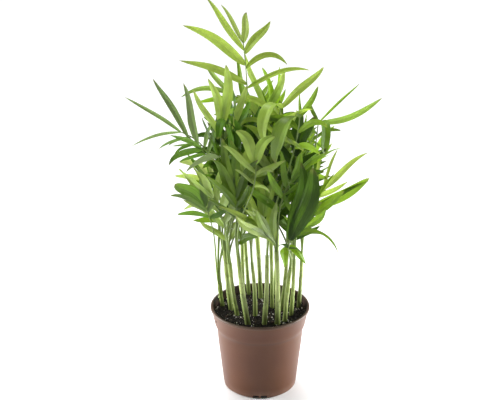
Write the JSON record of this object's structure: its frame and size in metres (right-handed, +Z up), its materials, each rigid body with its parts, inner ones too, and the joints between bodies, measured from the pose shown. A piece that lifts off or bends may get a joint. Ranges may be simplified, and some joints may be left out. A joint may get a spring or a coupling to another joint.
{
  "type": "potted parlour palm",
  "caption": "Clump of young parlour palm seedlings with slender stems and arching feathered fronds, growing in peat in a tapered plastic nursery pot.",
  "frame": {"origin": "centre of the pot's flat underside", "axes": "+Z up along the stems, -Y towards the plant's front, +X to its right as seen from the front"},
  "size_m": [0.3034, 0.1929, 0.5005],
  "materials": {
    "pot": "satin taupe-brown moulded plastic",
    "soil": "dark moist peat with pale grit",
    "stem": "pale green streaked stem, slightly waxy",
    "frond_dark": "dark green leaf, soft sheen",
    "frond_mid": "mid green leaf, soft sheen",
    "frond_bright": "young yellow-green leaf, soft sheen"
  },
  "bodies": {
    "root": {"pot": "pot", "soil": "soil", "stem_01": "stem", "stem_02": "stem", "stem_03": "stem", "stem_04": "stem", "stem_05": "stem", "stem_06": "stem", "stem_07": "stem", "stem_08": "stem", "stem_09": "stem", "stem_10": "stem", "stem_11": "stem", "stem_12": "stem", "stem_13": "stem", "stem_14": "stem", "stem_15": "stem", "stem_16": "stem", "stem_17": "stem", "stem_18": "stem", "frond_01": "frond_bright", "frond_02": "frond_dark", "frond_03": "frond_mid", "frond_04": "frond_bright", "frond_05": "frond_bright", "frond_06": "frond_mid", "frond_07": "frond_mid", "frond_08": "frond_bright", "frond_09": "frond_dark", "frond_10": "frond_mid", "frond_11": "frond_dark", "frond_12": "frond_bright", "frond_13": "frond_dark", "frond_14": "frond_dark", "frond_15": "frond_dark", "frond_16": "frond_dark", "frond_17": "frond_mid", "frond_18": "frond_bright", "frond_19": "frond_mid", "frond_20": "frond_bright", "frond_21": "frond_mid", "frond_22": "frond_bright", "frond_23": "frond_mid", "frond_24": "frond_dark", "frond_25": "frond_bright", "frond_26": "frond_mid", "frond_27": "frond_dark", "frond_28": "frond_mid", "frond_29": "frond_dark", "frond_30": "frond_bright", "frond_31": "frond_mid", "frond_32": "frond_dark", "frond_33": "frond_mid", "frond_34": "frond_dark", "frond_35": "frond_bright", "frond_36": "frond_mid", "frond_37": "frond_dark", "frond_38": "frond_mid", "frond_39": "frond_dark", "frond_40": "frond_bright"}
  },
  "joints": []
}
